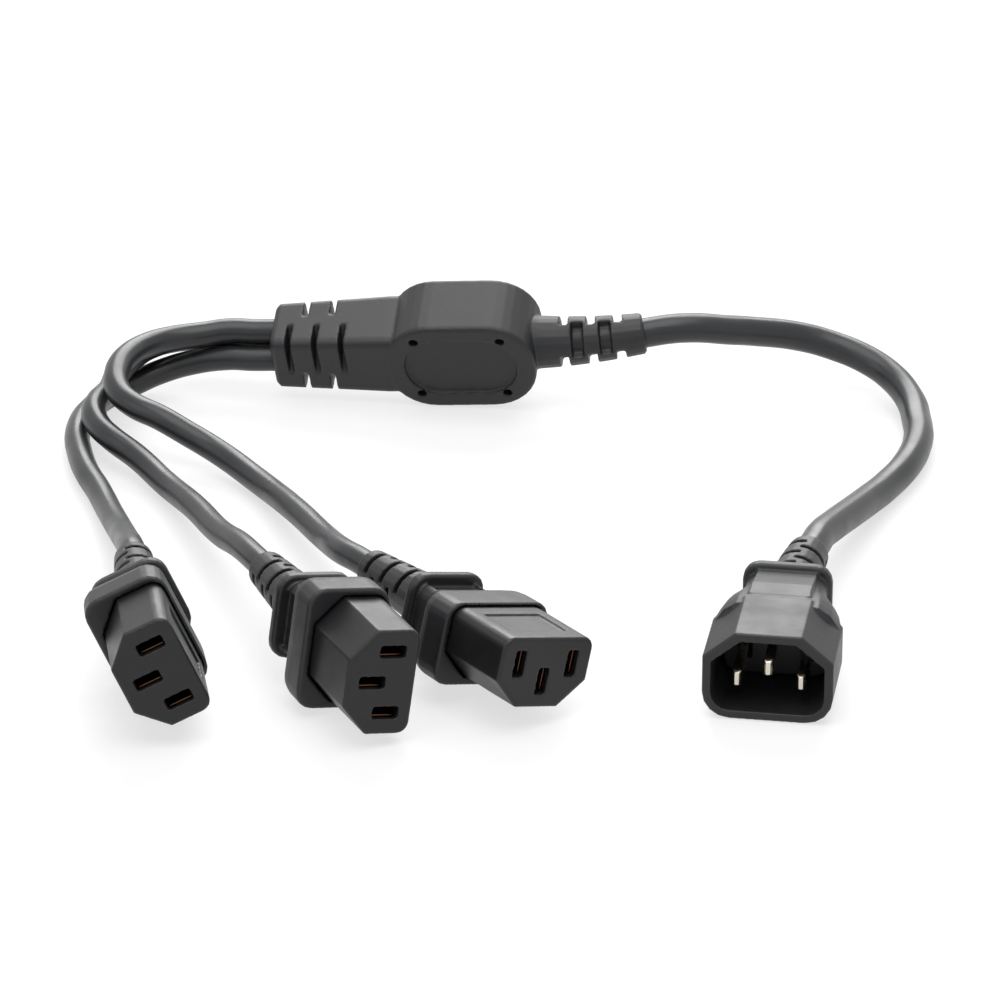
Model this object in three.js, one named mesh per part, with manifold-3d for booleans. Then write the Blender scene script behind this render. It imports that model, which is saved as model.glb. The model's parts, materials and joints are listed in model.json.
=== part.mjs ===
import * as THREE from 'three';
import { mergeVertices } from 'three/addons/utils/BufferGeometryUtils.js';
import Module from 'manifold-3d';

// A mains splitter lead: one three-pin plug, a cord to a moulded junction, and three cords from
// there to three outlets. It lies on a table. Millimetres, X to the right, Y away from the
// viewer, Z up, with the origin on the table under the middle of what its five bodies cover.

const wasm = await Module();
wasm.setup();

// Fits
const FIT = 0.3; // gap between pieces that sit in or against each other
const THROUGH = 1; // how far a cutting shape runs past a face

// Cords
const SUPPLY_CORD = 7.3; // diameter of the cord from the plug
const OUTLET_CORD = 6.2; // diameter of each cord to an outlet
const CORD_SIDES = 10;
const CORD_STEP = 1.5; // length of one straight stretch, in diameters

// Contacts, the same pattern for plug and outlets
const POLE_OFFSET = 7; // line and neutral, each side of the middle
const POLE_RISE = 2; // line and neutral above the middle, earth as far below it
const PIN_WIDTH = 2;
const PIN_HEIGHT = 4;

// Slotted strain reliefs
const SLOT_PITCH = 6.7; // between slots on the same side
const SLOT_SPAN = 98; // degrees of the circle that a slot takes

// Outlet, measured back from its face
const NOSE_WIDTH = 24;
const NOSE_HEIGHT = 16;
const NOSE_LENGTH = 19.6;
const NOSE_CHAMFER_WIDTH = 6.4; // at the earth side
const NOSE_CHAMFER_HEIGHT = 6;
const NOSE_CORNER = 2.6;
const NOSE_EDGE = 0.5; // bevel round the face
const ENTRY_WIDTH = 2.8; // slot for one pin
const ENTRY_HEIGHT = 6;
const FACE_WALL = 1.5; // in front of the contacts
const STEM_WIDTH = 20;
const STEM_HEIGHT = 12.8;
const STEM_LENGTH = 6.4; // behind the nose, inside the grip
const SEAT_DEPTH = 2; // how far the nose itself goes into the grip
const PANEL_WIDTH = 15; // shallow panel on top of the nose
const PANEL_LENGTH = 10.6;
const PANEL_FRONT = 4.6;
const PANEL_DEPTH = 0.5;
const COLLAR_HALF = 14;
const COLLAR_TOP = 8.9;
const COLLAR_BOTTOM = 10.2;
const COLLAR_LENGTH = 8.6;
const COLLAR_CORNER = 4;
const WAIST_HALF = 8.4;
const WAIST_TOP = 7;
const WAIST_BOTTOM = 7.4;
const SHOULDER_LENGTH = 6;
const GUARD_START = 38.5; // thin guard behind the waist
const GUARD_THICKNESS = 2.8;
const GUARD_HALF = 9.8;
const GUARD_TOP = 8.7;
const GUARD_BOTTOM = 9.3;
const GUARD_CORNER = 4;
const RELIEF_LENGTH = 26.7;
const RELIEF_BASE = 12.6;
const RELIEF_END = 8.8;
const RELIEF_SLOT = 1.5;
const END_TO_SLOT = 4; // from the end of a relief to its last slot
const THUMB_WIDTH = 13; // pocket for thumb and finger, above and below
const THUMB_LENGTH = 8;
const THUMB_DEPTH = 1.2;

// Contact inside an outlet
const LEAF = 0.5;
const CONTACT_LENGTH = 15;
const CONTACT_HEIGHT = 5.4;
const BARREL = 2.6; // crimp barrel diameter

// Plug, measured back from its rim
const SHROUD_WIDTH = 28.6;
const SHROUD_HEIGHT = 20.5;
const SHROUD_LENGTH = 20;
const SHROUD_WALL = 2;
const SHROUD_CHAMFER_WIDTH = 7.1;
const SHROUD_CHAMFER_HEIGHT = 6;
const SHROUD_CORNER = 6;
const SHOULDER_CORNER = 8.5; // where the shroud rounds over into the grip
const SHROUD_EDGE = 0.4;
const SOCKET_DEPTH = 18.5;
const PLUG_STEM_LENGTH = 4;
const CARRIER_PLATE = 2.4;
const POLE_PIN_RECESS = 2.9; // tips of line and neutral behind the rim
const EARTH_PIN_RECESS = 0.8; // the earth pin is longer
const PIN_TIP = 0.9;
const PLUG_GUARD_START = 37.6;
const PLUG_WAIST_HALF = 9;
const PLUG_WAIST_REACH = 7.7;
const PLUG_GUARD_HALF = 10;
const PLUG_GUARD_REACH = 9.8;
const PLUG_RELIEF_LENGTH = 26;
const PLUG_RELIEF_BASE = 12.8;
const PLUG_RELIEF_END = 9.6;
const PLUG_RELIEF_BEND = 8; // degrees, to the right
const PAD_WIDTH = 13.5; // raised pad on the top and bottom of the plug
const PAD_START = 21.5;
const PAD_RISE = 0.8;

// Junction: X along the cords, its broad face to the front
const HOUSING_WIDTH = 37;
const HOUSING_HEIGHT = 26.4;
const HOUSING_DEPTH = 18;
const HOUSING_CORNER = 11.6;
const HOUSING_EDGE = 0.9;
const FACE_PANEL_WIDTH = 27.6;
const FACE_PANEL_HEIGHT = 17.8;
const FACE_PANEL_CORNER = 8.4;
const FACE_PANEL_DEPTH = 1;
const DIMPLE = 2.3; // small blind holes round the panel
const DIMPLE_DEPTH = 2.5;
const DIMPLE_X = 10.65;
const DIMPLE_Z = 8.6;
const JUNCTION_RELIEF_LENGTH = 26;
const JUNCTION_RELIEF_BASE = 13.2;
const JUNCTION_RELIEF_END = 10.2;
const JUNCTION_RELIEF_BEND = 12; // degrees, to the back
const WINDOW = 2.9; // wide slots of that relief
const NOTCH = 2.2;
const FIRST_NOTCH = 6.5;
const BUNDLE_LENGTH = 28.5; // square tail round the three cords
const BUNDLE_ROOT = 17.8;
const BUNDLE_END = 15.6;
const BUNDLE_CORNER = 2;
const BUNDLE_SLOT = 1.4;
const BUNDLE_END_TO_SLOT = 4.6;
const BUNDLE_SLOT_TOP = 7.2; // how far a front slot runs over the top
const BUNDLE_SLOT_FACE = 10.5; // and down the front
const BUNDLE_NOTCH = 6.4; // reach of the slots on the other two edges

// Places on the table: middle of the face, and degrees. An outlet lies on its collar, so it is
// rolled over by its tilt and its cord end leans down.
const JUNCTION = { x: -1, y: 88.6, turn: -8.2, tilt: -4.1, lean: 21.9, order: 'ZYX' };
const PLUG = { x: 65.4, y: -89, turn: -9.2, tilt: 0, lean: 0 };
const OUTLETS = [
  { x: -65.6, y: -101.3, turn: 7.8, tilt: 65.9, lean: -2.5 },
  { x: -17.7, y: -101.2, turn: 23.5, tilt: 99.2, lean: -1.5 },
  { x: 17.2, y: -91.1, turn: 34.4, tilt: 14.6, lean: -0.7 },
];

const POLES = [
  { name: 'line', x: -POLE_OFFSET, z: POLE_RISE },
  { name: 'neutral', x: POLE_OFFSET, z: POLE_RISE },
  { name: 'earth', x: 0, z: -POLE_RISE },
];

const radians = THREE.MathUtils.degToRad;

// Materials
const grip = new THREE.MeshStandardMaterial({ color: 0x3f4042, roughness: 0.6, metalness: 0 });
const jacket = new THREE.MeshStandardMaterial({ color: 0x4a4b4d, roughness: 0.45, metalness: 0 });
const carrier = new THREE.MeshStandardMaterial({ color: 0x38393b, roughness: 0.55, metalness: 0 });
const nickel = new THREE.MeshStandardMaterial({ color: 0xd8d2c4, roughness: 0.25, metalness: 1 });
const brass = new THREE.MeshStandardMaterial({ color: 0xb08a4e, roughness: 0.35, metalness: 1 });

// Solids from geometry and back
function signedVolume(positions, index) {
  let sum = 0;
  const a = new THREE.Vector3();
  const b = new THREE.Vector3();
  const c = new THREE.Vector3();
  for (let i = 0; i < index.length; i += 3) {
    a.fromArray(positions, index[i] * 3);
    b.fromArray(positions, index[i + 1] * 3);
    c.fromArray(positions, index[i + 2] * 3);
    sum += a.dot(b.cross(c));
  }
  return sum;
}

function toSolid(geometry) {
  const bare = geometry.clone();
  bare.deleteAttribute('normal');
  bare.deleteAttribute('uv');
  const merged = mergeVertices(bare, 1e-4);
  const vertProperties = new Float32Array(merged.attributes.position.array);
  const triVerts = new Uint32Array(merged.index.array);
  if (signedVolume(vertProperties, triVerts) < 0) {
    for (let i = 0; i < triVerts.length; i += 3) {
      [triVerts[i], triVerts[i + 1]] = [triVerts[i + 1], triVerts[i]];
    }
  }
  return new wasm.Manifold(new wasm.Mesh({ numProp: 3, vertProperties, triVerts }));
}

function toGeometry(solid) {
  const mesh = solid.getMesh();
  const geometry = new THREE.BufferGeometry();
  geometry.setAttribute('position', new THREE.BufferAttribute(new Float32Array(mesh.vertProperties), 3));
  geometry.setIndex(new THREE.BufferAttribute(new Uint32Array(mesh.triVerts), 1));
  geometry.computeVertexNormals();
  return geometry;
}

const union = (solids) => solids.reduce((whole, next) => whole.add(next));
const cut = (whole, tools) => tools.reduce((rest, tool) => rest.subtract(tool), whole);

// Outlines in the plane across the axis: u sideways, v up
function roundedRing(half, top, bottom, radius, steps = 4) {
  const corners = [
    [half - radius, top - radius, 0],
    [radius - half, top - radius, 90],
    [radius - half, radius - bottom, 180],
    [half - radius, radius - bottom, 270],
  ];
  return corners.flatMap(([u, v, start]) =>
    Array.from({ length: steps + 1 }, (_, k) => {
      const angle = radians(start + (90 * k) / steps);
      return [u + radius * Math.cos(angle), v + radius * Math.sin(angle)];
    }),
  );
}

// Rounded at one long side, chamfered at the other, where the earth contact is
function keyedRing(width, height, corner, chamferWidth, chamferHeight, inset = 0, chamferUp = false) {
  const half = width / 2 - inset;
  const rise = height / 2 - inset;
  const radius = Math.max(corner - inset, 0.2);
  const round = roundedRing(half, rise, rise, radius).slice(0, 10);
  const chamfer = [
    [-half, chamferHeight - rise],
    [chamferWidth - half, -rise],
    [half - chamferWidth, -rise],
    [half, chamferHeight - rise],
  ];
  const ring = [...round, ...chamfer];
  return chamferUp ? ring.map(([u, v]) => [u, -v]).reverse() : ring;
}

// A body through a row of outlines, each at its place t along the axis
function loft(rings) {
  const count = rings[0].ring.length;
  const positions = rings.flatMap(({ t, ring }) => ring.flatMap(([u, v]) => [u, t, v]));
  const index = [];
  for (let k = 0; k < rings.length - 1; k += 1) {
    for (let i = 0; i < count; i += 1) {
      const a = k * count + i;
      const b = k * count + ((i + 1) % count);
      index.push(a, b, b + count, a, b + count, a + count);
    }
  }
  const last = (rings.length - 1) * count;
  const flat = (ring) => ring.map(([u, v]) => new THREE.Vector2(u, v));
  for (const [a, b, c] of THREE.ShapeUtils.triangulateShape(flat(rings[0].ring), [])) {
    index.push(c, b, a);
  }
  for (const [a, b, c] of THREE.ShapeUtils.triangulateShape(flat(rings.at(-1).ring), [])) {
    index.push(last + a, last + b, last + c);
  }
  const geometry = new THREE.BufferGeometry();
  geometry.setAttribute('position', new THREE.Float32BufferAttribute(positions, 3));
  geometry.setIndex(index);
  return toSolid(geometry);
}

const slab = (ring, from, to) => loft([{ t: from, ring }, { t: to, ring }]);

function box(width, length, height, x, y, z) {
  return toSolid(new THREE.BoxGeometry(width, length, height).translate(x, y, z));
}

// Round bar along Y
function bar(diameter, from, to, x = 0, z = 0, sides = 20) {
  const geometry = new THREE.CylinderGeometry(diameter / 2, diameter / 2, to - from, sides);
  return toSolid(geometry.translate(x, (from + to) / 2, z));
}

// Bends what lies beyond a start along Y, towards +X, and runs straight on after the length
function bent(geometry, start, length, degrees) {
  if (degrees === 0) {
    return geometry;
  }
  const radius = length / radians(degrees);
  const position = geometry.attributes.position;
  for (let i = 0; i < position.count; i += 1) {
    const along = position.getY(i) - start;
    if (along > 0) {
      const turn = Math.min(along, length) / radius;
      const rest = Math.max(along - length, 0);
      const out = position.getX(i);
      const x = radius * (1 - Math.cos(turn)) + rest * Math.sin(turn) + out * Math.cos(turn);
      const y = start + radius * Math.sin(turn) + rest * Math.cos(turn) - out * Math.sin(turn);
      position.setXY(i, x, y);
    }
  }
  return geometry;
}

// One slot of a relief: part of a ring, its middle at an angle from +X towards +Z
function slotTool(station, width, inner, outer, angle, span, bend) {
  const from = radians(angle - span / 2);
  const to = radians(angle + span / 2);
  const shape = new THREE.Shape();
  shape.absarc(0, 0, outer, from, to, false);
  shape.absarc(0, 0, inner, to, from, true);
  const geometry = new THREE.ExtrudeGeometry(shape, { depth: width, bevelEnabled: false, curveSegments: 9 });
  geometry.rotateX(Math.PI / 2).translate(0, station + width / 2, 0);
  return toSolid(bend(geometry));
}

// A tapered relief moulded round a cord, from a start along Y, with slots down to the cord that
// alternate between its two diagonals. It gives the body and what is cut from it.
function strainRelief({ start, length, base, end, cord, bend, slots }) {
  const sides = 20;
  const rows = bend === 0 ? 1 : 6;
  const lip = 0.6;
  const bending = (geometry) => bent(geometry, start, length, bend);
  const body = new THREE.CylinderGeometry(end / 2, base / 2, length - lip, sides, rows);
  const tip = new THREE.CylinderGeometry(end / 2 - lip, end / 2, lip, sides, 1);
  body.translate(0, start + (length - lip) / 2, 0);
  tip.translate(0, start + length - lip / 2, 0);
  const tools = slots.flatMap(({ station, width, diagonal }) =>
    [diagonal, diagonal + 180].map((angle) =>
      slotTool(start + station, width, cord / 2, base, angle, SLOT_SPAN, bending),
    ),
  );
  return { body: union([toSolid(bending(body)), toSolid(bending(tip))]), tools };
}

// Slots of an outlet's or the plug's relief, from its far end towards the body
function reliefSlots(length, turns) {
  return Array.from({ length: turns }, (_, k) => ({
    station: length - END_TO_SLOT - (k * SLOT_PITCH) / 2,
    width: RELIEF_SLOT,
    diagonal: k % 2 === 0 ? 135 : 45,
  }));
}

// Outlet
const stemRear = NOSE_LENGTH + STEM_LENGTH;

function noseRing(inset = 0) {
  return keyedRing(NOSE_WIDTH, NOSE_HEIGHT, NOSE_CORNER, NOSE_CHAMFER_WIDTH, NOSE_CHAMFER_HEIGHT, inset);
}

function outletNose() {
  const seat = NOSE_LENGTH + SEAT_DEPTH;
  const body = loft([
    { t: 0, ring: noseRing(NOSE_EDGE) },
    { t: NOSE_EDGE, ring: noseRing() },
    { t: seat, ring: noseRing() },
  ]);
  const stem = box(STEM_WIDTH, stemRear - seat, STEM_HEIGHT, 0, (stemRear + seat) / 2, 0);
  const tools = POLES.flatMap(({ x, z }) => {
    const length = stemRear + 2 * THROUGH;
    const room = stemRear + THROUGH - FACE_WALL;
    const width = PIN_WIDTH + 2 * LEAF + 2 * FIT;
    return [
      box(ENTRY_WIDTH, length, ENTRY_HEIGHT, x, length / 2 - THROUGH, z),
      box(width, room, CONTACT_HEIGHT + 2 * FIT, x, FACE_WALL + room / 2, z),
    ];
  });
  const panelMiddle = PANEL_FRONT + PANEL_LENGTH / 2;
  const panel = box(PANEL_WIDTH, PANEL_LENGTH, 2 * PANEL_DEPTH, 0, panelMiddle, NOSE_HEIGHT / 2);
  return cut(union([body, stem]), [...tools, panel]);
}

// A folded strip: two leaves that grip the pin, a web behind them and a crimp barrel
function outletContact(x, z) {
  const front = FACE_WALL + FIT;
  const rear = front + CONTACT_LENGTH;
  const outer = PIN_WIDTH + 2 * LEAF;
  const body = box(outer, CONTACT_LENGTH, CONTACT_HEIGHT, x, front + CONTACT_LENGTH / 2, z);
  const room = CONTACT_LENGTH - 2 * LEAF;
  const gap = box(PIN_WIDTH, room, CONTACT_HEIGHT + THROUGH, x, front + room / 2 - THROUGH, z);
  return union([cut(body, [gap]), bar(BARREL, rear - LEAF, stemRear, x, z, 12)]);
}

function outletGrip() {
  const front = NOSE_LENGTH;
  const band = front + COLLAR_LENGTH;
  const waist = band + SHOULDER_LENGTH;
  const guardRear = GUARD_START + GUARD_THICKNESS;
  const collarRing = (inset) =>
    roundedRing(COLLAR_HALF - inset, COLLAR_TOP - inset, COLLAR_BOTTOM - inset, COLLAR_CORNER - inset);
  const between = (share) => {
    const mix = (a, b) => THREE.MathUtils.lerp(a, b, share);
    const ring = [mix(COLLAR_HALF, WAIST_HALF), mix(COLLAR_TOP, WAIST_TOP), mix(COLLAR_BOTTOM, WAIST_BOTTOM)];
    return roundedRing(...ring, mix(COLLAR_CORNER, COLLAR_CORNER - 1));
  };
  const waistRing = between(1);
  const body = loft([
    { t: front, ring: collarRing(0.5) },
    { t: front + 0.5, ring: collarRing(0) },
    { t: band - 2, ring: collarRing(0.1) },
    { t: band, ring: between(0.1) },
    { t: band + SHOULDER_LENGTH / 3, ring: between(0.42) },
    { t: band + (2 * SHOULDER_LENGTH) / 3, ring: between(0.82) },
    { t: waist, ring: waistRing },
    { t: GUARD_START + THROUGH, ring: waistRing },
  ]);
  const guard = slabWithEdges(GUARD_START, guardRear, GUARD_HALF, GUARD_TOP, GUARD_BOTTOM, GUARD_CORNER);
  const relief = strainRelief({
    start: guardRear,
    length: RELIEF_LENGTH,
    base: RELIEF_BASE,
    end: RELIEF_END,
    cord: OUTLET_CORD,
    bend: 0,
    slots: reliefSlots(RELIEF_LENGTH, 5),
  });
  const pocketWidth = STEM_WIDTH + 2 * FIT;
  const pocketHeight = STEM_HEIGHT + 2 * FIT;
  const pocketFront = front + SEAT_DEPTH - FIT;
  const pocketLength = stemRear + FIT - pocketFront;
  const pocketMiddle = pocketFront + pocketLength / 2;
  const pocket = box(pocketWidth, pocketLength, pocketHeight, 0, pocketMiddle, 0);
  const seat = slab(noseRing(-FIT), front - THROUGH, front + SEAT_DEPTH + FIT);
  const thumbs = [WAIST_TOP, -WAIST_BOTTOM].map((reach) => thumbPocket(reach));
  return cut(union([body, guard, relief.body]), [pocket, seat, ...relief.tools, ...thumbs]);
}

// A slab across the axis with its front and rear edges eased
function slabWithEdges(from, to, half, top, bottom, corner) {
  const ease = 0.5;
  const ring = (inset) => roundedRing(half - inset, top - inset, bottom - inset, corner - inset);
  return loft([
    { t: from, ring: ring(ease) },
    { t: from + ease, ring: ring(0) },
    { t: to - ease, ring: ring(0) },
    { t: to, ring: ring(ease) },
  ]);
}

// Shallow pocket in the top or bottom of the waist, its front corners cut off
function thumbPocket(reach) {
  const side = Math.sign(reach);
  const half = THUMB_WIDTH / 2;
  const rear = GUARD_START;
  const front = rear - THUMB_LENGTH;
  const shape = new THREE.Shape();
  shape.moveTo(-half, rear);
  shape.lineTo(-half, front + half / 2);
  shape.lineTo(-half / 2, front);
  shape.lineTo(half / 2, front);
  shape.lineTo(half, front + half / 2);
  shape.lineTo(half, rear);
  const depth = THUMB_DEPTH + 2 * THROUGH;
  const geometry = new THREE.ExtrudeGeometry(shape, { depth, bevelEnabled: false });
  const middle = reach + side * (depth / 2 - THUMB_DEPTH);
  return toSolid(geometry.translate(0, 0, middle - depth / 2));
}

// Plug
const plugFloor = SOCKET_DEPTH;
const carrierRear = plugFloor + CARRIER_PLATE + PLUG_STEM_LENGTH;
const plugGuardRear = PLUG_GUARD_START + GUARD_THICKNESS;

function shroudRing(inset = 0) {
  const ring = [SHROUD_WIDTH, SHROUD_HEIGHT, SHROUD_CORNER, SHROUD_CHAMFER_WIDTH, SHROUD_CHAMFER_HEIGHT];
  return keyedRing(...ring, inset, true);
}

function socketRing(inset = 0) {
  const slope = SHROUD_WALL * 0.42; // keeps the wall even along the chamfer
  const ring = [SHROUD_WIDTH, SHROUD_HEIGHT, SHROUD_CORNER];
  ring.push(SHROUD_CHAMFER_WIDTH - slope, SHROUD_CHAMFER_HEIGHT - slope);
  return keyedRing(...ring, SHROUD_WALL + inset, true);
}

function plugBody() {
  const half = SHROUD_WIDTH / 2;
  const reach = SHROUD_HEIGHT / 2;
  const shroud = loft([
    { t: 0, ring: shroudRing(SHROUD_EDGE) },
    { t: SHROUD_EDGE, ring: shroudRing() },
    { t: SHROUD_LENGTH, ring: shroudRing() },
  ]);
  const between = (share) => {
    const mix = (a, b) => THREE.MathUtils.lerp(a, b, share);
    const rise = mix(reach, PLUG_WAIST_REACH);
    return roundedRing(mix(half, PLUG_WAIST_HALF), rise, rise, mix(SHOULDER_CORNER, 3));
  };
  const run = PLUG_GUARD_START - SHROUD_LENGTH;
  const shares = [0.03, 0.12, 0.33, 0.64, 0.9, 1];
  const shoulder = loft([
    { t: SHROUD_LENGTH - 3, ring: between(0.01) },
    ...shares.map((share, k) => ({ t: SHROUD_LENGTH + (run * k) / shares.length, ring: between(share) })),
    { t: PLUG_GUARD_START + THROUGH, ring: between(1) },
  ]);
  const guardHalves = [PLUG_GUARD_HALF, PLUG_GUARD_REACH, PLUG_GUARD_REACH, GUARD_CORNER];
  const guard = slabWithEdges(PLUG_GUARD_START, plugGuardRear, ...guardHalves);
  const relief = strainRelief({
    start: plugGuardRear,
    length: PLUG_RELIEF_LENGTH,
    base: PLUG_RELIEF_BASE,
    end: PLUG_RELIEF_END,
    cord: SUPPLY_CORD,
    bend: PLUG_RELIEF_BEND,
    slots: reliefSlots(PLUG_RELIEF_LENGTH, 5),
  });
  const pads = [1, -1].map((side) => raisedPad(side, reach));
  const plateRoom = CARRIER_PLATE + 2 * FIT;
  const socket = slab(socketRing(), -THROUGH, plugFloor + plateRoom);
  const pocketLength = carrierRear + FIT - plugFloor;
  const pocketMiddle = plugFloor + pocketLength / 2;
  const pocket = box(STEM_WIDTH + 2 * FIT, pocketLength, STEM_HEIGHT + 2 * FIT, 0, pocketMiddle, 0);
  return cut(union([shroud, shoulder, guard, relief.body, ...pads]), [socket, pocket, ...relief.tools]);
}

// A pad that stays proud where the shoulder falls away to the waist
function raisedPad(side, reach) {
  const half = PAD_WIDTH / 2;
  const inside = PLUG_WAIST_REACH - 1;
  const front = reach - 0.05;
  const rear = PLUG_WAIST_REACH + PAD_RISE;
  const shape = new THREE.Shape();
  shape.moveTo(PAD_START, inside);
  shape.lineTo(PLUG_GUARD_START + THROUGH, inside);
  shape.lineTo(PLUG_GUARD_START + THROUGH, rear);
  shape.lineTo(PLUG_GUARD_START - 2, rear);
  shape.lineTo(PAD_START + 6, (front + rear) / 2 + PAD_RISE);
  shape.lineTo(PAD_START, front);
  const geometry = new THREE.ExtrudeGeometry(shape, { depth: PAD_WIDTH, bevelEnabled: false });
  geometry.applyMatrix4(new THREE.Matrix4().set(0, 0, 1, -half, 1, 0, 0, 0, 0, side, 0, 0, 0, 0, 0, 1));
  return toSolid(geometry);
}

function pinCarrier() {
  const plate = slab(socketRing(FIT), plugFloor + FIT, plugFloor + FIT + CARRIER_PLATE);
  const stemFront = plugFloor + CARRIER_PLATE;
  const stemLength = carrierRear - stemFront;
  const stem = box(STEM_WIDTH, stemLength, STEM_HEIGHT, 0, stemFront + stemLength / 2, 0);
  const length = carrierRear - plugFloor + 2 * THROUGH;
  const holes = POLES.map(({ x, z }) =>
    box(PIN_WIDTH + 2 * FIT, length, PIN_HEIGHT + 2 * FIT, x, plugFloor - THROUGH + length / 2, -z),
  );
  return cut(union([plate, stem]), holes);
}

// Blade with a tapered tip, and a barrel behind the carrier's rear face for its core
function plugPin(x, z, recess) {
  const ring = (inset) =>
    roundedRing(PIN_WIDTH / 2 - inset, PIN_HEIGHT / 2 - inset, PIN_HEIGHT / 2 - inset, 0.3).map(
      ([u, v]) => [u + x, v + z],
    );
  return loft([
    { t: recess, ring: ring(0.55) },
    { t: recess + PIN_TIP, ring: ring(0) },
    { t: carrierRear, ring: ring(0) },
  ]);
}

// Junction
const halfHousing = HOUSING_WIDTH / 2;

// Turns a solid made along Y so that it runs along X, to the right or to the left
function alongX(solid, side) {
  return side > 0
    ? solid.transform([0, 1, 0, 0, 1, 0, 0, 0, 0, 0, -1, 0, 0, 0, 0, 1])
    : solid.transform([0, 1, 0, 0, -1, 0, 0, 0, 0, 0, 1, 0, 0, 0, 0, 1]);
}

function housingShell() {
  const reach = HOUSING_HEIGHT / 2;
  const ring = (inset) => roundedRing(halfHousing - inset, reach - inset, reach - inset, HOUSING_CORNER - inset, 8);
  const front = -HOUSING_DEPTH / 2;
  const rear = HOUSING_DEPTH / 2;
  return loft([
    { t: front, ring: ring(HOUSING_EDGE) },
    { t: front + HOUSING_EDGE / 3, ring: ring(HOUSING_EDGE / 3) },
    { t: front + HOUSING_EDGE, ring: ring(0) },
    { t: rear - HOUSING_EDGE, ring: ring(0) },
    { t: rear - HOUSING_EDGE / 3, ring: ring(HOUSING_EDGE / 3) },
    { t: rear, ring: ring(HOUSING_EDGE) },
  ]);
}

// The shallow panel and the four blind holes of the front or rear face
function faceMarks(side) {
  const face = (side * HOUSING_DEPTH) / 2;
  const panelHalf = FACE_PANEL_HEIGHT / 2;
  const ring = roundedRing(FACE_PANEL_WIDTH / 2, panelHalf, panelHalf, FACE_PANEL_CORNER, 8);
  const inner = face - side * FACE_PANEL_DEPTH;
  const outer = face + side * THROUGH;
  const panel = slab(ring, Math.min(inner, outer), Math.max(inner, outer));
  const holeInner = face - side * DIMPLE_DEPTH;
  const holes = [-1, 1].flatMap((left) =>
    [-1, 1].map((low) =>
      bar(DIMPLE, Math.min(holeInner, outer), Math.max(holeInner, outer), left * DIMPLE_X, low * DIMPLE_Z, 12),
    ),
  );
  return [panel, ...holes];
}

// Slot across one long edge of the square tail: it runs over the two faces that meet there
function edgeSlot(station, width, half, sideY, sideZ, reachZ, reachY) {
  const over = THROUGH;
  const shape = new THREE.Shape();
  shape.moveTo(-half - over, half + over);
  shape.lineTo(-half - over, half - reachY - (over * reachY) / reachZ);
  shape.lineTo(-half + reachZ + (over * reachZ) / reachY, half + over);
  const geometry = new THREE.ExtrudeGeometry(shape, { depth: width, bevelEnabled: false });
  const place = new THREE.Matrix4().set(0, 0, 1, station - width / 2, -sideY, 0, 0, 0, 0, sideZ, 0, 0, 0, 0, 0, 1);
  return toSolid(geometry.applyMatrix4(place));
}

function bundleTail() {
  const root = halfHousing - 6;
  const end = halfHousing + BUNDLE_LENGTH;
  const ring = (size, inset = 0) => {
    const half = size / 2 - inset;
    return roundedRing(half, half, half, BUNDLE_CORNER);
  };
  const tail = loft([
    { t: root, ring: ring(BUNDLE_ROOT) },
    { t: halfHousing, ring: ring(BUNDLE_ROOT) },
    { t: end - 1, ring: ring(BUNDLE_END) },
    { t: end, ring: ring(BUNDLE_END, 0.8) },
  ]);
  const slots = [];
  for (let k = 0; k < 5; k += 1) {
    const station = end - BUNDLE_END_TO_SLOT - (k * SLOT_PITCH) / 2;
    const half = THREE.MathUtils.mapLinear(station, halfHousing, end, BUNDLE_ROOT, BUNDLE_END) / 2;
    const edges = k % 2 === 0 ? [[-1, 1], [1, -1]] : [[-1, -1], [1, 1]];
    for (const [sideY, sideZ] of edges) {
      const front = k % 2 === 0;
      const reachZ = front ? BUNDLE_SLOT_TOP : BUNDLE_NOTCH;
      const reachY = front ? BUNDLE_SLOT_FACE : BUNDLE_NOTCH;
      slots.push(edgeSlot(-station, BUNDLE_SLOT, half, sideY, sideZ, reachZ, reachY));
    }
  }
  return { tail: alongX(tail, -1), slots };
}

function junctionHousing() {
  const tail = bundleTail();
  const slots = Array.from({ length: 5 }, (_, k) => ({
    station: FIRST_NOTCH + (k * SLOT_PITCH) / 2,
    width: k % 2 === 0 ? NOTCH : WINDOW,
    diagonal: k % 2 === 0 ? 135 : 45,
  }));
  const relief = strainRelief({
    start: halfHousing,
    length: JUNCTION_RELIEF_LENGTH,
    base: JUNCTION_RELIEF_BASE,
    end: JUNCTION_RELIEF_END,
    cord: SUPPLY_CORD,
    bend: JUNCTION_RELIEF_BEND,
    slots,
  });
  const root = bar(JUNCTION_RELIEF_BASE, halfHousing - 3, halfHousing + 0.2, 0, 0, 28);
  const body = union([housingShell(), tail.tail, alongX(root, 1), alongX(relief.body, 1)]);
  const tools = [...tail.slots, ...relief.tools.map((tool) => alongX(tool, 1))];
  return cut(body, [...tools, ...faceMarks(-1), ...faceMarks(1)]);
}

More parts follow.
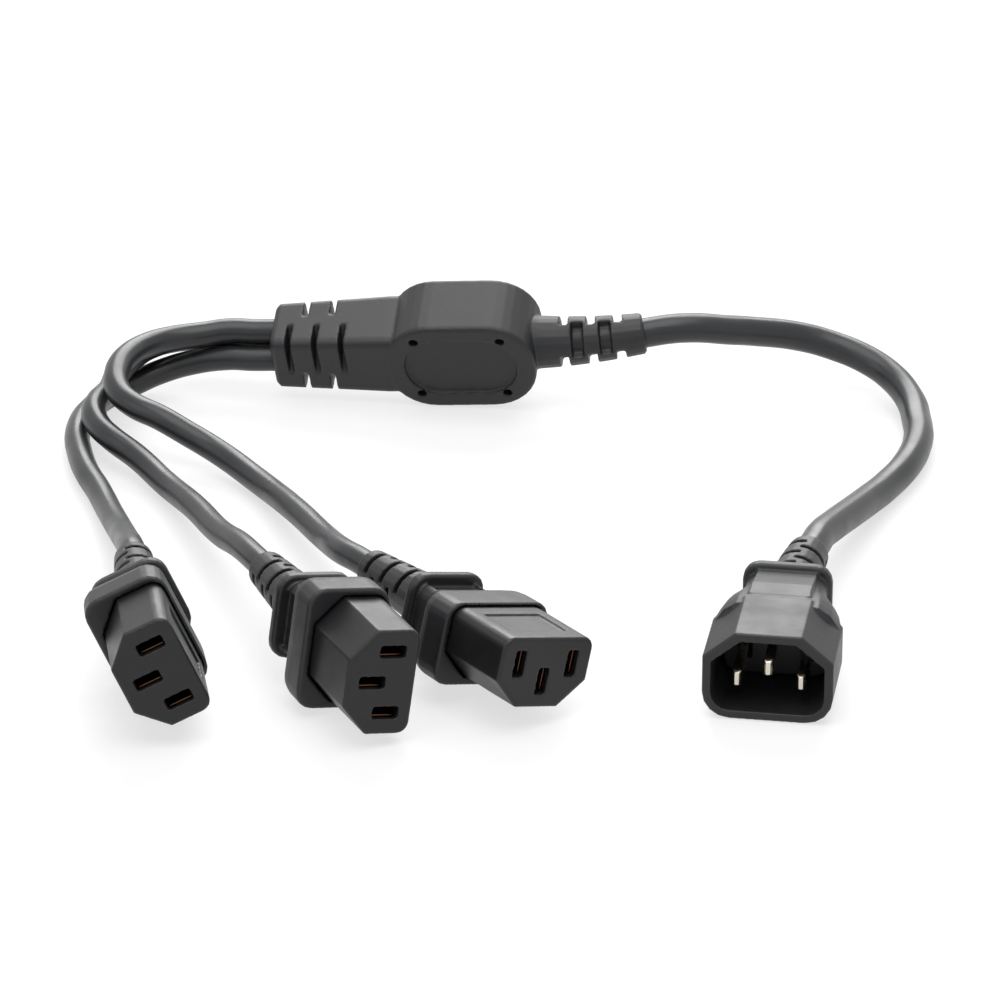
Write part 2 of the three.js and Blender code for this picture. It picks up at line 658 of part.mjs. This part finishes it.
// Cords: a tube of even section along a smooth curve through hand-chosen points
const ROUTES = {
  supply_cord: [
    [43.6, 84.8, 20], [49, 85.1, 20.8], [53, 85.9, 20.8], [57.3, 87.1, 20.3],
    [63, 89.4, 18.9], [69.5, 92.9, 17.1], [82, 97.9, 13.6], [90.5, 97.9, 11.1], [98, 94.9, 8.9],
    [104, 89.4, 6.6], [108, 80.4, 4.5], [109, 68.4, 3.8], [108.5, 55.9, 3.9],
    [105, 41.9, 3.8], [98.5, 27.4, 3.9], [94, 17.9, 4.9], [90.5, 9.9, 6.1], [84.5, -4.1, 8.4],
    [81, -13.1, 9.8], [79.6, -18.1, 10.1], [78.1, -23, 10.3],
  ],
  outlet_cord_1: [
    [-48, 92.2, 10.1], [-53.6, 93.1, 9.7], [-59, 94.4, 9.4], [-69, 96.4, 7.2], [-76.5, 95.4, 5.2],
    [-82.5, 91.9, 3.7], [-86.5, 87.9, 3.2], [-89.5, 83.4, 3.2], [-92, 77.4, 3.2], [-94, 69.9, 3.2],
    [-94.5, 59.4, 3.2], [-93.5, 51.4, 3.2], [-91, 39.4, 3.2], [-87, 26.9, 3.2],
    [-83.5, 13.4, 3.9], [-80.1, -1.3, 6], [-77.6, -15.3, 9.6], [-75.6, -28.1, 13.3], [-74.9, -33.4, 13.7],
  ],
  outlet_cord_2: [
    [-47.1, 98.7, 10.9], [-52.7, 99.6, 10.5], [-59.5, 101.4, 11.1], [-67.5, 101.9, 11.5],
    [-73.5, 100.4, 11.6], [-79, 96.9, 11.2], [-83, 91.4, 10.5], [-86, 84.9, 9.4], [-87.5, 76.9, 8.3],
    [-90, 67.9, 8.6], [-90.5, 61.9, 8.5], [-89, 55.9, 7.8], [-85.5, 49.9, 7], [-79, 42.9, 5.1],
    [-71.5, 29.9, 4], [-63.5, 10.9, 6.3], [-56.5, -9.1, 8.8], [-51.1, -23.4, 12],
    [-47.2, -33.4, 13.2], [-45, -38.3, 13.4],
  ],
  outlet_cord_3: [
    [-48, 94.9, 16.2], [-52.5, 95.6, 15.9], [-59, 96.4, 15.8], [-65.5, 95.9, 15.1], [-72.5, 93.9, 14.9],
    [-78.5, 89.4, 15.1], [-83.5, 81.4, 15.1], [-85.5, 72.4, 14.3], [-84.5, 64.4, 13],
    [-80.5, 58.4, 11.9], [-74, 53.9, 10.6], [-67.5, 50.4, 8.1], [-60, 45.4, 5.5],
    [-49.5, 31.4, 3.8], [-40, 9.9, 6], [-32, -11.1, 8.1], [-27.5, -25, 11.1],
    [-24.6, -30, 11.8], [-21.6, -34.5, 11.9],
  ],
};

function cordTube(points, diameter) {
  const path = new THREE.CatmullRomCurve3(points.map(([x, y, z]) => new THREE.Vector3(x, y, z)), false, 'centripetal');
  const corners = Array.from({ length: CORD_SIDES }, (_, k) => {
    const angle = (2 * Math.PI * k) / CORD_SIDES;
    return new THREE.Vector2((diameter / 2) * Math.cos(angle), (diameter / 2) * Math.sin(angle));
  });
  const steps = Math.round(path.getLength() / (CORD_STEP * diameter));
  return new THREE.ExtrudeGeometry(new THREE.Shape(corners), { steps, bevelEnabled: false, extrudePath: path });
}

// Assembly
function piece(name, geometry, material) {
  const mesh = new THREE.Mesh(geometry, material);
  mesh.name = name;
  return mesh;
}

// Lifts a placed group so that its lowest point is on the table
function rest(group) {
  group.updateMatrixWorld(true);
  group.position.z -= new THREE.Box3().setFromObject(group, true).min.z;
  group.updateMatrixWorld(true);
  return group;
}

function placed(pieces, { x, y, turn, tilt, lean, order = 'ZXY' }) {
  const group = new THREE.Group();
  group.add(...pieces);
  group.rotation.set(radians(lean), radians(tilt), radians(turn), order);
  group.position.set(x, y, 0);
  return rest(group);
}

const splitter = new THREE.Group();

const junctionPieces = [
  piece('junction_housing', toGeometry(junctionHousing()), grip),
];
splitter.add(placed(junctionPieces, JUNCTION));

const plugPieces = [
  piece('plug_body', toGeometry(plugBody()), grip),
  piece('plug_pin_carrier', toGeometry(pinCarrier()), carrier),
  ...POLES.map(({ name, x, z }) => {
    const recess = name === 'earth' ? EARTH_PIN_RECESS : POLE_PIN_RECESS;
    return piece(`plug_${name}_pin`, toGeometry(plugPin(x, -z, recess)), nickel);
  }),
];
splitter.add(placed(plugPieces, PLUG));

OUTLETS.forEach((place, k) => {
  const name = `outlet_${k + 1}`;
  const pieces = [
    piece(`${name}_grip`, toGeometry(outletGrip()), grip),
    piece(`${name}_nose`, toGeometry(outletNose()), carrier),
    ...POLES.map((pole) => piece(`${name}_${pole.name}_contact`, toGeometry(outletContact(pole.x, pole.z)), brass)),
  ];
  splitter.add(placed(pieces, place));
});

for (const [name, points] of Object.entries(ROUTES)) {
  const diameter = name === 'supply_cord' ? SUPPLY_CORD : OUTLET_CORD;
  splitter.add(piece(name, cordTube(points, diameter), jacket));
}

export default splitter;
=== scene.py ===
import json
import math

import bpy
from mathutils import Euler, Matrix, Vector

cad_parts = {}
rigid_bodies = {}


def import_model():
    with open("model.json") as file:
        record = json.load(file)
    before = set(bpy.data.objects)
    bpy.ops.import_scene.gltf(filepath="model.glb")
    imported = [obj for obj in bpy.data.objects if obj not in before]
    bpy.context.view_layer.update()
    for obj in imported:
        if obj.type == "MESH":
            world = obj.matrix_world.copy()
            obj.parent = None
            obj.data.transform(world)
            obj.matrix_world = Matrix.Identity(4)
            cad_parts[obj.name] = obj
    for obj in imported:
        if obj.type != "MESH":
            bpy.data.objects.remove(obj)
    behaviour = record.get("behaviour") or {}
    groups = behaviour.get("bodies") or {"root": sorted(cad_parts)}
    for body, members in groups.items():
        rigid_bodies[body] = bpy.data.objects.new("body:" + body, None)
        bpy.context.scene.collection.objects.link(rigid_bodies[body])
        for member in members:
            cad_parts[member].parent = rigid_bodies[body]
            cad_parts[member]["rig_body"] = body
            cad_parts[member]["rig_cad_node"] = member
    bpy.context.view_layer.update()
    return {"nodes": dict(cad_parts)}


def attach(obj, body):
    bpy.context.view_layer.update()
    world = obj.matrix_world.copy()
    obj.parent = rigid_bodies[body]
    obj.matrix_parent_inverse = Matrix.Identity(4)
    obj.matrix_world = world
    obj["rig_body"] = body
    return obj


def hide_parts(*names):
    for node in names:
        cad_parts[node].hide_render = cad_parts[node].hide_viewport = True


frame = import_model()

bl_info = {
    "name": "Power Cord Splitter",
    "version": (1, 0, 0),
    "blender": (4, 5, 0),
    "location": "View3D > Sidebar > Splitter",
    "description": "Dresses the power cord splitter: moulded bodies, outlets, plug, cords and stage",
    "category": "Object",
}

MM = 0.001
BODY = "root"  # the part has no joints, so all of it is one body

OUTLETS = ("outlet_1", "outlet_2", "outlet_3")
POLES = ("line", "neutral", "earth")

# The camera, solved from the photograph
CAMERA_PLACE = (7.7, -1129.5, 515.8)  # millimetres
CAMERA_TILT = 66  # degrees up from straight down
CAMERA_LENS = 192.8  # millimetres, on a sensor 36 mm wide

# Softboxes: name, place in metres, turn about X and Y in degrees, size in metres, watts
LAMPS = (
    ("softbox_above", (0, -0.25, 1.3), (11, 0), 1.3, 15),
    ("softbox_behind", (0.1, 1.1, 0.8), (-54, 0), 0.9, 16),
    ("softbox_left", (-1.3, -0.5, 0.9), (35, -50), 1.0, 3),
)
WHITE = (1, 1, 1, 1)
SURROUND_LIGHT = 0.32  # how strongly the white surround lights the object
FLOOR_LIFT = 0.68  # share of plain white in the floor as it is seen, which keeps shadows faint

PATCH = 9 * MM  # size of the patches where a surface is rubbed
CORD_INSIDE = 3.0  # millimetres that each end of a cord runs on inside its strain relief

# Where each cord runs between its strain reliefs, in millimetres
ROUTES = {
    "supply_cord": (
        (43.6, 84.8, 20), (49, 85.1, 20.8), (53, 85.9, 20.8), (57.3, 87.1, 20.3), (63, 89.4, 18.9),
        (69.5, 92.9, 17.1), (82, 97.9, 13.6), (90.5, 97.9, 11.1), (98, 94.9, 8.9), (104, 89.4, 6.6),
        (108, 80.4, 4.5), (109, 68.4, 3.8), (108.5, 55.9, 3.9), (105, 41.9, 3.8), (98.5, 27.4, 3.9),
        (94, 17.9, 4.9), (90.5, 9.9, 6.1), (84.5, -4.1, 8.4), (81, -13.1, 9.8), (79.6, -18.1, 10.1),
        (78.1, -23, 10.3),
    ),
    "outlet_cord_1": (
        (-48, 92.2, 10.1), (-53.6, 93.1, 9.7), (-59, 94.4, 9.4), (-69, 96.4, 7.2),
        (-76.5, 95.4, 5.2), (-82.5, 91.9, 3.7), (-86.5, 87.9, 3.2), (-89.5, 83.4, 3.2),
        (-92, 77.4, 3.2), (-94, 69.9, 3.2), (-94.5, 59.4, 3.2), (-93.5, 51.4, 3.2),
        (-91, 39.4, 3.2), (-87, 26.9, 3.2), (-83.5, 13.4, 3.9), (-80.1, -1.3, 6),
        (-77.6, -15.3, 9.6), (-75.6, -28.1, 13.3), (-74.9, -33.4, 13.7),
    ),
    "outlet_cord_2": (
        (-47.1, 98.7, 10.9), (-52.7, 99.6, 10.5), (-59.5, 101.4, 11.1), (-67.5, 101.9, 11.5),
        (-73.5, 100.4, 11.6), (-79, 96.9, 11.2), (-83, 91.4, 10.5), (-86, 84.9, 9.4),
        (-87.5, 76.9, 8.3), (-90, 67.9, 8.6), (-90.5, 61.9, 8.5), (-89, 55.9, 7.8),
        (-85.5, 49.9, 7), (-79, 42.9, 5.1), (-71.5, 29.9, 4), (-63.5, 10.9, 6.3),
        (-56.5, -9.1, 8.8), (-51.1, -23.4, 12), (-47.2, -33.4, 13.2), (-45, -38.3, 13.4),
    ),
    "outlet_cord_3": (
        (-48, 94.9, 16.2), (-52.5, 95.6, 15.9), (-59, 96.4, 15.8), (-65.5, 95.9, 15.1),
        (-72.5, 93.9, 14.9), (-78.5, 89.4, 15.1), (-83.5, 81.4, 15.1), (-85.5, 72.4, 14.3),
        (-84.5, 64.4, 13), (-80.5, 58.4, 11.9), (-74, 53.9, 10.6), (-67.5, 50.4, 8.1),
        (-60, 45.4, 5.5), (-49.5, 31.4, 3.8), (-40, 9.9, 6), (-32, -11.1, 8.1), (-27.5, -25, 11.1),
        (-24.6, -30, 11.8), (-21.6, -34.5, 11.9),
    ),
}


# Shared making


def srgb(code):
    """An sRGB hex colour as linear red, green, blue and full alpha."""
    channels = (int(code[i : i + 2], 16) / 255 for i in (0, 2, 4))
    linear = (c / 12.92 if c <= 0.04045 else ((c + 0.055) / 1.055) ** 2.4 for c in channels)
    return (*linear, 1.0)


def add_node(tree, kind, settings=None, inputs=None, links=None):
    """One node with its settings, its own values and what feeds it."""
    node = tree.nodes.new(kind)
    for name, value in (settings or {}).items():
        setattr(node, name, value)
    for name, value in (inputs or {}).items():
        node.inputs[name].default_value = value
    for name, source in (links or {}).items():
        tree.links.new(source, node.inputs[name])
    return node


def new_material(name):
    """An empty node material and its output node."""
    material = bpy.data.materials.new(name)
    material.use_nodes = True
    material.node_tree.nodes.clear()
    output = material.node_tree.nodes.new("ShaderNodeOutputMaterial")
    return material, material.node_tree, output


def select_only(*objects):
    bpy.ops.object.select_all(action="DESELECT")
    for item in objects:
        item.select_set(True)
    bpy.context.view_layer.objects.active = objects[-1]


def apply_modifier(piece, kind, **settings):
    """Adds one modifier and applies it."""
    modifier = piece.modifiers.new(kind.title(), kind)
    for name, value in settings.items():
        setattr(modifier, name, value)
    select_only(piece)
    bpy.ops.object.modifier_apply(modifier=modifier.name)


def copy_of_node(node, name):
    """A merged copy of a CAD node, free to be shaped."""
    select_only(frame["nodes"][node])
    bpy.ops.object.duplicate()
    piece = bpy.context.active_object
    piece.name = name
    piece.parent = None
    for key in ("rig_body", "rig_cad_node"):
        del piece[key]
    bpy.ops.object.mode_set(mode="EDIT")
    bpy.ops.mesh.select_all(action="SELECT")
    bpy.ops.mesh.remove_doubles(threshold=0.002 * MM)
    bpy.ops.mesh.normals_make_consistent(inside=False)
    bpy.ops.object.mode_set(mode="OBJECT")
    return piece


def finish_piece(piece, material, slot, *replaced):
    """Gives a piece its material and body, and hides the nodes that it stands for."""
    piece.data.materials.clear()
    piece.data.materials.append(material)
    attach(piece, BODY)
    if replaced:
        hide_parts(*replaced)
    return piece


def moulded_copy(node, name, material, slot, grain, rounding):
    """A CAD node with all its edges rounded as a mould rounds them."""
    piece = copy_of_node(node, name)
    apply_modifier(piece, "REMESH", mode="VOXEL", voxel_size=grain * MM, use_smooth_shade=True)
    apply_modifier(piece, "SMOOTH", factor=0.5, iterations=rounding)
    return finish_piece(piece, material, slot, node)


def eased_copy(node, name, material, slot, width):
    """A CAD node with a narrow bevel on its sharp edges."""
    piece = copy_of_node(node, name)
    bpy.ops.object.mode_set(mode="EDIT")
    bpy.ops.mesh.select_all(action="SELECT")
    bpy.ops.mesh.dissolve_limited(angle_limit=math.radians(2))
    bpy.ops.object.mode_set(mode="OBJECT")
    sharp = {"limit_method": "ANGLE", "angle_limit": math.radians(35)}
    apply_modifier(piece, "BEVEL", width=width * MM, segments=2, **sharp)
    select_only(piece)
    bpy.ops.object.shade_smooth_by_angle(angle=math.radians(40))
    return finish_piece(piece, material, slot, node)


# Materials


def moulded_pvc(name, colour, worn, roughness, grit_mm, grit_depth):
    """Black PVC, injection moulded in an eroded steel mould. Its fine grit spreads the light, so
    faces look soft and matt, and handling leaves slightly paler and smoother patches."""
    material, tree, output = new_material(name)
    place = add_node(tree, "ShaderNodeTexCoord").outputs["Object"]
    patches = add_node(
        tree,
        "ShaderNodeTexNoise",
        inputs={"Scale": 1 / PATCH, "Detail": 3.0, "Roughness": 0.6},
        links={"Vector": place},
    ).outputs["Fac"]
    grit = add_node(
        tree,
        "ShaderNodeTexNoise",
        inputs={"Scale": 1 / (grit_mm * MM), "Detail": 2.0, "Roughness": 0.5},
        links={"Vector": place},
    ).outputs["Fac"]
    tint = add_node(
        tree,
        "ShaderNodeMix",
        {"data_type": "RGBA"},
        {"A": srgb(colour), "B": srgb(worn)},
        {"Factor": patches},
    )
    gloss = add_node(
        tree,
        "ShaderNodeMapRange",
        inputs={
            "From Min": 0.3,
            "From Max": 0.7,
            "To Min": roughness - 0.06,
            "To Max": roughness + 0.06,
        },
        links={"Value": patches},
    )
    bump = add_node(
        tree,
        "ShaderNodeBump",
        inputs={"Strength": 0.5, "Distance": grit_depth * MM},
        links={"Height": grit},
    )
    shader = add_node(
        tree,
        "ShaderNodeBsdfPrincipled",
        inputs={"IOR": 1.53, "Specular IOR Level": 0.35},
        links={
            "Base Color": tint.outputs["Result"],
            "Roughness": gloss.outputs["Result"],
            "Normal": bump.outputs["Normal"],
        },
    )
    tree.links.new(shader.outputs["BSDF"], output.inputs["Surface"])
    return material


def plated_metal(name, colour, roughness, scratch_mm):
    """Drawn and plated metal: bright, with short fine scratches where contacts rub it."""
    material, tree, output = new_material(name)
    place = add_node(tree, "ShaderNodeTexCoord").outputs["Object"]
    scratches = add_node(
        tree,
        "ShaderNodeTexNoise",
        inputs={"Scale": 1 / (scratch_mm * MM), "Detail": 2.0, "Distortion": 0.4},
        links={"Vector": place},
    ).outputs["Fac"]
    gloss = add_node(
        tree,
        "ShaderNodeMapRange",
        inputs={"To Min": roughness - 0.05, "To Max": roughness + 0.1},
        links={"Value": scratches},
    )
    bump = add_node(
        tree,
        "ShaderNodeBump",
        inputs={"Strength": 0.2, "Distance": 0.01 * MM},
        links={"Height": scratches},
    )
    shader = add_node(
        tree,
        "ShaderNodeBsdfPrincipled",
        inputs={"Base Color": srgb(colour), "Metallic": 1.0},
        links={"Roughness": gloss.outputs["Result"], "Normal": bump.outputs["Normal"]},
    )
    tree.links.new(shader.outputs["BSDF"], output.inputs["Surface"])
    return material


# Sizes and colours that a user would change


class SplitterFinish(bpy.types.PropertyGroup):
    """Colours of the plastics and metals."""

    body_colour: bpy.props.StringProperty(
        name="Body",
        description="sRGB hex colour of the moulded bodies",
        default="1b1b1d",
    )
    body_worn: bpy.props.StringProperty(
        name="Body, handled",
        description="sRGB hex colour where the bodies are handled",
        default="242527",
    )
    insert_colour: bpy.props.StringProperty(
        name="Insert",
        description="sRGB hex colour of the outlets' and plug's hard inserts",
        default="121214",
    )
    insert_worn: bpy.props.StringProperty(
        name="Insert, handled",
        description="sRGB hex colour where the inserts are rubbed",
        default="19191b",
    )
    cord_colour: bpy.props.StringProperty(
        name="Cord",
        description="sRGB hex colour of the cords",
        default="222325",
    )
    cord_worn: bpy.props.StringProperty(
        name="Cord, handled",
        description="sRGB hex colour where the cords are rubbed",
        default="2b2c2e",
    )
    pin_colour: bpy.props.StringProperty(
        name="Pins",
        description="sRGB hex colour of the nickel on the pins",
        default="cfc8ba",
    )
    contact_colour: bpy.props.StringProperty(
        name="Contacts",
        description="sRGB hex colour of the brass contacts",
        default="6b4a38",
    )


class SplitterSizes(bpy.types.PropertyGroup):
    """Sizes of the cords and of the moulded edges."""

    supply_diameter: bpy.props.FloatProperty(
        name="Supply cord",
        description="Diameter of the cord to the plug",
        default=7.3 * MM,
        unit="LENGTH",
    )
    outlet_diameter: bpy.props.FloatProperty(
        name="Outlet cords",
        description="Diameter of the cords to the outlets",
        default=6.2 * MM,
        unit="LENGTH",
    )
    mould_grain: bpy.props.FloatProperty(
        name="Mould grain",
        description="Finest shape that the moulds hold, in millimetres",
        default=0.3,
    )
    mould_rounding: bpy.props.IntProperty(
        name="Mould rounding",
        description="How far the moulded edges are rounded",
        default=2,
    )
    insert_rounding: bpy.props.IntProperty(
        name="Insert rounding",
        description="How far the edges of the hard inserts are rounded",
        default=1,
    )
    pin_bevel: bpy.props.FloatProperty(
        name="Pin bevel",
        description="Bevel on the edges of pins and contacts, in millimetres",
        default=0.15,
    )


# Pieces


class SPLITTER_OT_cords(bpy.types.Operator):
    """Lays the supply cord and the three outlet cords along their routes."""

    bl_idname = "splitter.cords"
    bl_label = "Cords"

    def execute(self, context):
        sizes = context.scene.splitter_sizes
        finish = context.scene.splitter_finish
        colours = (finish.cord_colour, finish.cord_worn)
        material = moulded_pvc("extruded_pvc_jacket", *colours, 0.33, 0.5, 0.02)
        for name, route in ROUTES.items():
            supply = name == "supply_cord"
            diameter = sizes.supply_diameter if supply else sizes.outlet_diameter
            piece = self.lay(name, route, diameter)
            finish_piece(piece, material, "cord_pvc", name)
        return {"FINISHED"}

    def lay(self, name, route, diameter):
        """One cord as a smooth curve through its route's points."""
        curve = bpy.data.curves.new(name + "_jacket", "CURVE")
        curve.dimensions = "3D"
        curve.resolution_u = 10
        curve.bevel_depth = diameter / 2
        curve.bevel_resolution = 6
        curve.use_fill_caps = True
        places = [Vector(place) for place in route]
        places.insert(0, places[0] + (places[0] - places[1]).normalized() * CORD_INSIDE)
        places.append(places[-1] + (places[-1] - places[-2]).normalized() * CORD_INSIDE)
        spline = curve.splines.new("BEZIER")
        spline.bezier_points.add(len(places) - 1)
        for point, place in zip(spline.bezier_points, places):
            point.co = place * MM
            point.handle_left_type = "AUTO"
            point.handle_right_type = "AUTO"
        piece = bpy.data.objects.new(name + "_jacket", curve)
        bpy.context.scene.collection.objects.link(piece)
        return piece


class SPLITTER_OT_camera(bpy.types.Operator):
    """Places the camera as the photograph was taken: a long lens, 24 degrees down."""

    bl_idname = "splitter.camera"
    bl_label = "Camera"

    def execute(self, context):
        camera = bpy.data.cameras.new("photo_camera")
        camera.lens = CAMERA_LENS
        camera.sensor_width = 36
        camera.clip_start = 0.05
        camera.clip_end = 20
        eye = bpy.data.objects.new("photo_camera", camera)
        context.scene.collection.objects.link(eye)
        eye.location = Vector(CAMERA_PLACE) * MM
        eye.rotation_euler = Euler((math.radians(CAMERA_TILT), 0, 0))
        context.scene.camera = eye
        return {"FINISHED"}


class SPLITTER_OT_bodies(bpy.types.Operator):
    """Moulded bodies: the junction, the plug's body and the outlets' grips."""

    bl_idname = "splitter.bodies"
    bl_label = "Moulded bodies"

    def execute(self, context):
        sizes = context.scene.splitter_sizes
        finish = context.scene.splitter_finish
        colours = (finish.body_colour, finish.body_worn)
        material = moulded_pvc("moulded_pvc_body", *colours, 0.46, 0.45, 0.05)
        look = (material, "body_pvc", sizes.mould_grain, sizes.mould_rounding)
        moulded_copy("junction_housing", "junction_moulding", *look)
        moulded_copy("plug_body", "plug_moulding", *look)
        for name in OUTLETS:
            moulded_copy(name + "_grip", name + "_moulding", *look)
        return {"FINISHED"}


class SPLITTER_OT_noses(bpy.types.Operator):
    """Hard inserts: the outlets' noses and the plug's pin carrier."""

    bl_idname = "splitter.noses"
    bl_label = "Noses and pin carrier"

    def execute(self, context):
        sizes = context.scene.splitter_sizes
        finish = context.scene.splitter_finish
        colours = (finish.insert_colour, finish.insert_worn)
        material = moulded_pvc("moulded_polyester_insert", *colours, 0.42, 0.3, 0.02)
        look = (material, "nose_plastic", sizes.mould_grain, sizes.insert_rounding)
        for name in OUTLETS:
            moulded_copy(name + "_nose", name + "_insert", *look)
        moulded_copy("plug_pin_carrier", "plug_insert", *look)
        return {"FINISHED"}


class SPLITTER_OT_metal(bpy.types.Operator):
    """Plug pins and the contacts inside the outlets."""

    bl_idname = "splitter.metal"
    bl_label = "Pins and contacts"

    def execute(self, context):
        sizes = context.scene.splitter_sizes
        finish = context.scene.splitter_finish
        nickel = plated_metal("nickel_plated_brass", finish.pin_colour, 0.22, 0.4)
        brass = plated_metal("pressed_brass", finish.contact_colour, 0.3, 0.4)
        for pole in POLES:
            blade = f"plug_{pole}_blade"
            eased_copy(f"plug_{pole}_pin", blade, nickel, "nickel_pin", sizes.pin_bevel)
            for name in OUTLETS:
                node = f"{name}_{pole}_contact"
                spring = f"{name}_{pole}_spring"
                eased_copy(node, spring, brass, "brass_contact", sizes.pin_bevel)
        return {"FINISHED"}


class SPLITTER_OT_stage(bpy.types.Operator):
    """Pale table, soft studio light and a white surround."""

    bl_idname = "splitter.stage"
    bl_label = "Stage"

    def execute(self, context):
        self.floor()
        for lamp in LAMPS:
            self.lamp(*lamp)
        self.surround(context.scene)
        context.scene.view_settings.view_transform = "Standard"
        return {"FINISHED"}

    def floor(self):
        bpy.ops.object.select_all(action="DESELECT")
        bpy.ops.mesh.primitive_plane_add(size=12, location=(0, 0, -0.2 * MM))
        floor = bpy.context.active_object
        floor.name = "table"
        material, tree, output = new_material("pale_laminate_table")
        laminate = {"Base Color": srgb("fafafa"), "Roughness": 0.7}
        shader = add_node(tree, "ShaderNodeBsdfPrincipled", inputs=laminate)
        paper = add_node(tree, "ShaderNodeEmission", inputs={"Color": WHITE, "Strength": 1.0})
        seen = {0: self.seen_directly(tree)}
        lift = add_node(tree, "ShaderNodeMath", {"operation": "MULTIPLY"}, {1: FLOOR_LIFT}, seen)
        mix = add_node(
            tree,
            "ShaderNodeMixShader",
            links={0: lift.outputs[0], 1: shader.outputs["BSDF"], 2: paper.outputs[0]},
        )
        tree.links.new(mix.outputs[0], output.inputs["Surface"])
        floor.data.materials.append(material)

    def seen_directly(self, tree):
        """1 where the camera looks straight, in a reflection or through something clear."""
        rays = add_node(tree, "ShaderNodeLightPath").outputs
        first = add_node(
            tree,
            "ShaderNodeMath",
            {"operation": "ADD"},
            links={0: rays["Is Camera Ray"], 1: rays["Is Glossy Ray"]},
        )
        every = add_node(
            tree,
            "ShaderNodeMath",
            {"operation": "ADD", "use_clamp": True},
            links={0: first.outputs[0], 1: rays["Is Transmission Ray"]},
        )
        return every.outputs[0]

    def lamp(self, name, place, turn, size, power):
        light = bpy.data.lights.new(name, "AREA")
        light.size = size
        light.energy = power
        lamp = bpy.data.objects.new(name, light)
        lamp.location = place
        lamp.rotation_euler = Euler((math.radians(turn[0]), math.radians(turn[1]), 0))
        bpy.context.scene.collection.objects.link(lamp)

    def surround(self, scene):
        world = bpy.data.worlds.new("white_surround")
        scene.world = world
        world.use_nodes = True
        tree = world.node_tree
        tree.nodes.clear()
        dim = {"Color": WHITE, "Strength": SURROUND_LIGHT}
        soft = add_node(tree, "ShaderNodeBackground", inputs=dim)
        white = add_node(tree, "ShaderNodeBackground", inputs={"Color": WHITE, "Strength": 1.0})
        mix = add_node(
            tree,
            "ShaderNodeMixShader",
            links={0: self.seen_directly(tree), 1: soft.outputs[0], 2: white.outputs[0]},
        )
        add_node(tree, "ShaderNodeOutputWorld", links={"Surface": mix.outputs[0]})


# Panel and registration

STEPS = (
    SPLITTER_OT_camera,
    SPLITTER_OT_cords,
    SPLITTER_OT_bodies,
    SPLITTER_OT_noses,
    SPLITTER_OT_metal,
    SPLITTER_OT_stage,
)


class SPLITTER_PT_panel(bpy.types.Panel):
    """Lists the sizes, colours and steps."""

    bl_idname = "SPLITTER_PT_panel"
    bl_label = "Power Cord Splitter"
    bl_space_type = "VIEW_3D"
    bl_region_type = "UI"
    bl_category = "Splitter"

    def draw(self, context):
        for group in (context.scene.splitter_sizes, context.scene.splitter_finish):
            for name in group.__annotations__:
                self.layout.prop(group, name)
        for step in STEPS:
            self.layout.operator(step.bl_idname)


CLASSES = (SplitterFinish, SplitterSizes, *STEPS, SPLITTER_PT_panel)


def register():
    for item in CLASSES:
        bpy.utils.register_class(item)
    bpy.types.Scene.splitter_finish = bpy.props.PointerProperty(type=SplitterFinish)
    bpy.types.Scene.splitter_sizes = bpy.props.PointerProperty(type=SplitterSizes)


def unregister():
    del bpy.types.Scene.splitter_sizes
    del bpy.types.Scene.splitter_finish
    for item in reversed(CLASSES):
        bpy.utils.unregister_class(item)


def main():
    register()
    for step in ("camera", "cords", "bodies", "noses", "metal", "stage"):
        getattr(bpy.ops.splitter, step)()


if __name__ == "__main__":
    main()
